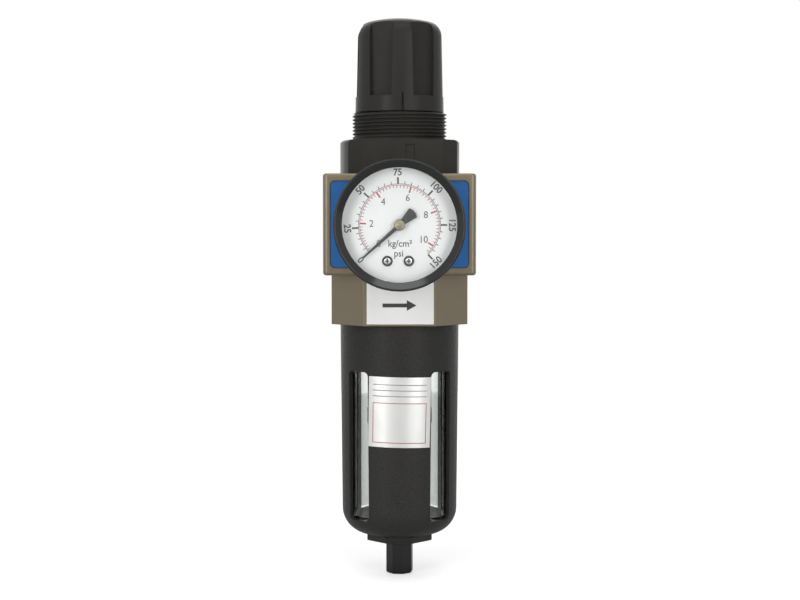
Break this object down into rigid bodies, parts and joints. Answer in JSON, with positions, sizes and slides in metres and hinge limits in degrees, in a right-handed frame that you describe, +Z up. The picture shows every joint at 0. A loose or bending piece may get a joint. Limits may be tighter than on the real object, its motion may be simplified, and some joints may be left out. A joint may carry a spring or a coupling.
{
  "type": "filter regulator",
  "caption": "Compressed air filter regulator: square ported body, round front gauge, threaded bonnet with ribbed knob, windowed guard over a clear bowl and a drain nipple.",
  "frame": {"origin": "on the main axis at the bonnet's shoulder, where the panel thread starts", "axes": "+Z up along the main axis to the knob, +X out of the outlet port, -Y out of the gauge's face"},
  "size_m": [0.0628, 0.093, 0.237],
  "materials": {
    "knob_plastic": "satin black moulded plastic",
    "bonnet_plastic": "satin black glass-filled plastic",
    "body_metal": "champagne lacquer over zinc casting",
    "plate_blue": "satin blue enamel",
    "guard_coat": "black wrinkle powder coat",
    "black_steel": "blackened steel",
    "clear_bowl": "clear polycarbonate",
    "lens_clear": "clear glass",
    "dial_white": "white enamel with printed scales",
    "pointer_black": "black enamel",
    "brass": "turned brass",
    "steel": "zinc plated steel",
    "spring_steel": "drawn spring wire",
    "rubber": "nitrile rubber",
    "filter_media": "sintered porous plastic",
    "inner_plastic": "black acetal"
  },
  "bodies": {
    "housing": {"body": "body_metal", "bonnet": "bonnet_plastic", "thrust_washer": "brass", "front_plate": "plate_blue", "rear_plate": "plate_blue", "rear_plug": "steel", "valve_seat": "brass", "valve_cage": "inner_plastic", "filter_stud": "steel", "deflector": "inner_plastic", "filter_element": "filter_media", "element_seals": "rubber", "baffle": "inner_plastic", "gauge_stem": "brass", "gauge_case": "black_steel", "gauge_bezel": "black_steel", "gauge_lens": "lens_clear", "gauge_dial": "dial_white", "dial_screws": "brass", "bourdon_tube": "brass", "gauge_movement": "brass"},
    "adjuster": {"adjusting_screw": "steel"},
    "knob": {"adjusting_knob": "knob_plastic"},
    "spring_seat": {"spring_nut": "brass", "adjusting_spring": "spring_steel"},
    "diaphragm_stack": {"diaphragm_plate": "steel", "relief_seat": "brass", "diaphragm_nut": "brass", "diaphragm": "rubber"},
    "valve": {"main_valve": "brass", "valve_disc": "rubber", "valve_spring": "spring_steel"},
    "gauge_pointer": {"pointer": "pointer_black", "pointer_shaft": "steel"},
    "bowl_unit": {"bowl": "clear_bowl", "bowl_seal": "rubber", "drain_body": "brass", "drain_gasket": "rubber", "drain_nut": "black_steel"},
    "guard": {"bowl_guard": "guard_coat"},
    "drain_handle": {"drain_knob": "black_steel"},
    "drain_valve": {"drain_plug": "inner_plastic", "drain_seal": "rubber"}
  },
  "joints": [
    {"name": "knob_turn", "type": "hinge", "parent": "housing", "child": "adjuster", "pos_m": [0, 0, 0.03], "axis": [0, 0, -1], "range_deg": [0, 1800]},
    {"name": "knob_lift", "type": "slide", "parent": "adjuster", "child": "knob", "axis": [0, 0, 1], "range_m": [0, 0.003]},
    {"name": "spring_seat_travel", "type": "slide", "parent": "housing", "child": "spring_seat", "axis": [0, 0, -1], "range_m": [0, 0.0076], "deforming": ["adjusting_spring"]},
    {"name": "diaphragm_travel", "type": "slide", "parent": "housing", "child": "diaphragm_stack", "axis": [0, 0, -1], "range_m": [0, 0.0012], "stiffness_N_per_m": 2000, "springref_m": -0.002, "deforming": ["diaphragm"]},
    {"name": "valve_travel", "type": "slide", "parent": "housing", "child": "valve", "axis": [0, 0, -1], "range_m": [0, 0.00122], "deforming": ["valve_spring"]},
    {"name": "pointer_turn", "type": "hinge", "parent": "housing", "child": "gauge_pointer", "pos_m": [0, -0.056, -0.0351], "axis": [0, 1, 0], "range_deg": [0, 268.3], "stiffness_Nm_per_rad": 0.0001, "springref_deg": -28.65},
    {"name": "guard_turn", "type": "hinge", "parent": "bowl_unit", "child": "guard", "pos_m": [0, 0, -0.12], "axis": [0, 0, -1], "range_deg": [0, 1440]},
    {"name": "bowl_drop", "type": "slide", "parent": "housing", "child": "bowl_unit", "axis": [0, 0, -1], "range_m": [0, 0.0081]},
    {"name": "drain_turn", "type": "hinge", "parent": "bowl_unit", "child": "drain_handle", "pos_m": [0, 0, -0.178], "axis": [0, 0, -1], "range_deg": [0, 360]},
    {"name": "drain_lift", "type": "slide", "parent": "bowl_unit", "child": "drain_valve", "axis": [0, 0, 1], "range_m": [0, 0.00155]}
  ],
  "couplings": [
    {"joint": "spring_seat_travel", "follows": "knob_turn", "m_per_rad": 0.00023873},
    {"joint": "valve_travel", "follows": "diaphragm_travel", "ratio": 1},
    {"joint": "bowl_drop", "follows": "guard_turn", "m_per_rad": 0.00031831},
    {"joint": "drain_lift", "follows": "drain_turn", "m_per_rad": 0.00023873}
  ]
}
